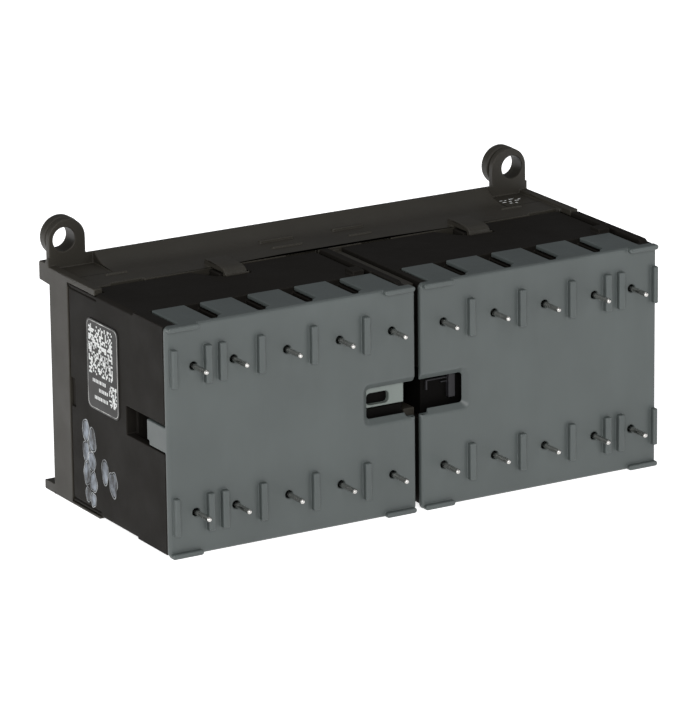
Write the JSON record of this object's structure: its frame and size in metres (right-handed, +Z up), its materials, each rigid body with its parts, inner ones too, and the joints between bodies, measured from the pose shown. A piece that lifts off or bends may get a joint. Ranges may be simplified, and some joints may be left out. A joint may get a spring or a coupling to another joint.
{
  "type": "reversing din rail contactor",
  "caption": "Pair of interlocked mini contactors with solder pins on one base that clips to a 35 mm DIN rail or is screwed down by its ears.",
  "frame": {"origin": "centre of the footprint on the plane it lies on", "axes": "+X along the pair of contactors, -Y towards the solder pins, +Y towards the DIN rail, +Z up through the screw ears"},
  "size_m": [0.0967, 0.0502, 0.0486],
  "materials": {
    "black_polyamide": "satin moulded",
    "housing_polyamide": "satin moulded",
    "grey_polyamide": "satin moulded",
    "pale_carrier": "satin moulded",
    "tinned_brass": "tinned",
    "copper_contact": "bright",
    "laminated_iron": "ground",
    "enamelled_wire": "enamelled",
    "bobbin_nylon": "matte",
    "spring_steel": "bright",
    "label_film": "satin film"
  },
  "bodies": {
    "base": {"base_plate": "black_polyamide", "din_clip_spring": "spring_steel", "interlock_pin": "spring_steel", "side_label": "label_film", "left_housing": "housing_polyamide", "left_pin_cover": "grey_polyamide", "left_magnet_core": "laminated_iron", "left_coil_bobbin": "bobbin_nylon", "left_coil_winding": "enamelled_wire", "left_return_spring": "spring_steel", "left_coil_pin_top": "tinned_brass", "left_coil_pin_bottom": "tinned_brass", "left_top_contact_1": "tinned_brass", "left_top_contact_2": "tinned_brass", "left_top_contact_3": "tinned_brass", "left_top_contact_4": "tinned_brass", "left_bottom_contact_1": "tinned_brass", "left_bottom_contact_2": "tinned_brass", "left_bottom_contact_3": "tinned_brass", "left_bottom_contact_4": "tinned_brass", "right_housing": "housing_polyamide", "right_pin_cover": "grey_polyamide", "right_magnet_core": "laminated_iron", "right_coil_bobbin": "bobbin_nylon", "right_coil_winding": "enamelled_wire", "right_return_spring": "spring_steel", "right_coil_pin_top": "tinned_brass", "right_coil_pin_bottom": "tinned_brass", "right_top_contact_1": "tinned_brass", "right_top_contact_2": "tinned_brass", "right_top_contact_3": "tinned_brass", "right_top_contact_4": "tinned_brass", "right_bottom_contact_1": "tinned_brass", "right_bottom_contact_2": "tinned_brass", "right_bottom_contact_3": "tinned_brass", "right_bottom_contact_4": "tinned_brass"},
    "left_carrier": {"left_contact_carrier": "pale_carrier", "left_armature": "laminated_iron", "left_contact_bridge_1": "copper_contact", "left_contact_bridge_2": "copper_contact", "left_contact_bridge_3": "copper_contact", "left_contact_bridge_4": "copper_contact", "left_contact_spring_1": "spring_steel", "left_contact_spring_2": "spring_steel", "left_contact_spring_3": "spring_steel", "left_contact_spring_4": "spring_steel"},
    "right_carrier": {"right_contact_carrier": "black_polyamide", "right_armature": "laminated_iron", "right_contact_bridge_1": "copper_contact", "right_contact_bridge_2": "copper_contact", "right_contact_bridge_3": "copper_contact", "right_contact_bridge_4": "copper_contact", "right_contact_spring_1": "spring_steel", "right_contact_spring_2": "spring_steel", "right_contact_spring_3": "spring_steel", "right_contact_spring_4": "spring_steel"},
    "rail_clip": {"din_clip": "black_polyamide"},
    "interlock": {"interlock_lever": "black_polyamide"}
  },
  "joints": [
    {"name": "left_pull_in", "type": "slide", "parent": "base", "child": "left_carrier", "axis": [0, 1, 0], "range_m": [0, 0.0028], "stiffness_N_per_m": 250, "springref_m": -0.004, "deforming": ["left_return_spring"]},
    {"name": "right_pull_in", "type": "slide", "parent": "base", "child": "right_carrier", "axis": [0, 1, 0], "range_m": [0, 0.0028], "stiffness_N_per_m": 250, "springref_m": -0.004, "deforming": ["right_return_spring"]},
    {"name": "din_clip_release", "type": "slide", "parent": "base", "child": "rail_clip", "axis": [0, 0, -1], "range_m": [0, 0.003], "stiffness_N_per_m": 900, "springref_m": -0.002, "deforming": ["din_clip_spring"]},
    {"name": "interlock_swing", "type": "hinge", "parent": "base", "child": "interlock", "pos_m": [0, -0.0071, 0.02005], "axis": [0, 0, -1], "range_deg": [0, 18]}
  ],
  "couplings": [
    {"joint": "interlock_swing", "follows": "left_pull_in", "rad_per_m": 112}
  ]
}
